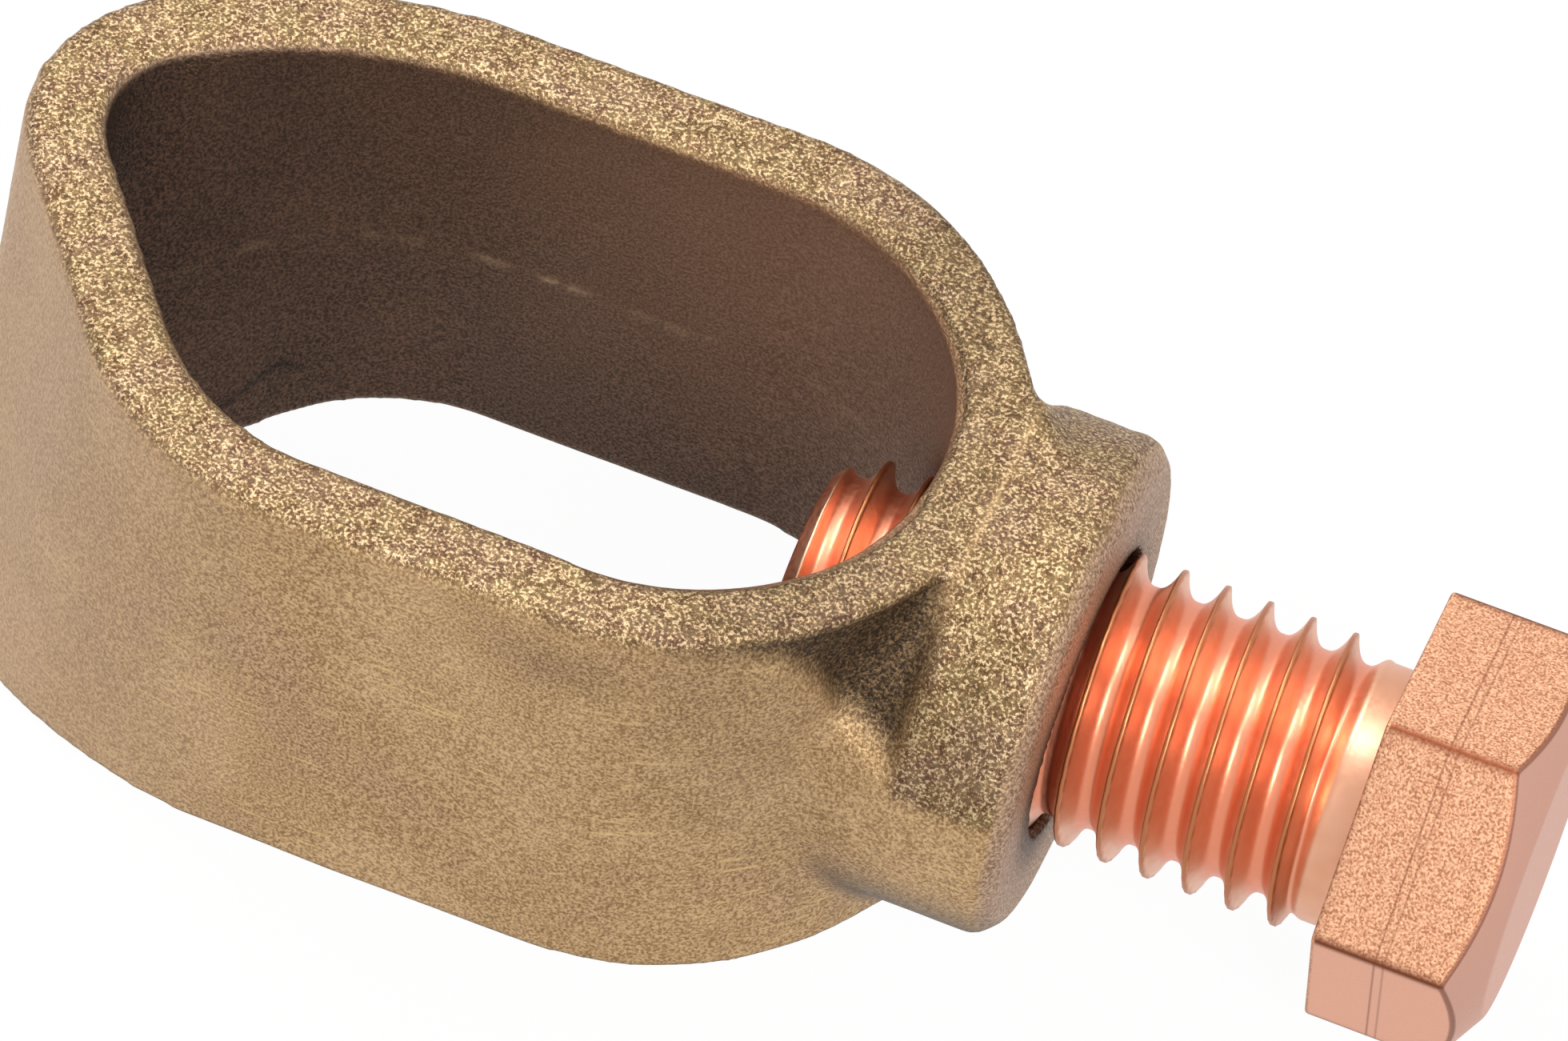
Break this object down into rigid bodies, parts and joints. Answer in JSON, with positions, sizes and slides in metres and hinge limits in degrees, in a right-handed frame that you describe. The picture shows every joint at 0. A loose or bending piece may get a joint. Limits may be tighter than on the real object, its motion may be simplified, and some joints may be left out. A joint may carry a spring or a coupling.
{
  "type": "earth rod clamp",
  "caption": "Cast oval loop that drops over an earth rod, with a hexagon set bolt through its boss that presses the rod into the loop's narrow nose.",
  "frame": {"origin": "centre of the opening for the rod, on the bolt's axis, half way between the two rims", "axes": "+X along the bolt from the loop towards its head, +Z along the rod, from the rim it stands on to the other rim, +Y across the loop"},
  "size_m": [0.0555, 0.0232, 0.0172],
  "materials": {
    "cast_gunmetal": "sand-cast, grainy and matte, with brighter grains on the rims",
    "coppered_bolt": "copper coloured, satin head and shiny thread"
  },
  "bodies": {
    "casting": {"clamp_body": "cast_gunmetal"},
    "bolt": {"clamp_bolt": "coppered_bolt"}
  },
  "joints": [
    {"name": "bolt_travel", "type": "slide", "parent": "casting", "child": "bolt", "axis": [-1, 0, 0], "range_m": [-0.0039, 0.0102]}
  ]
}
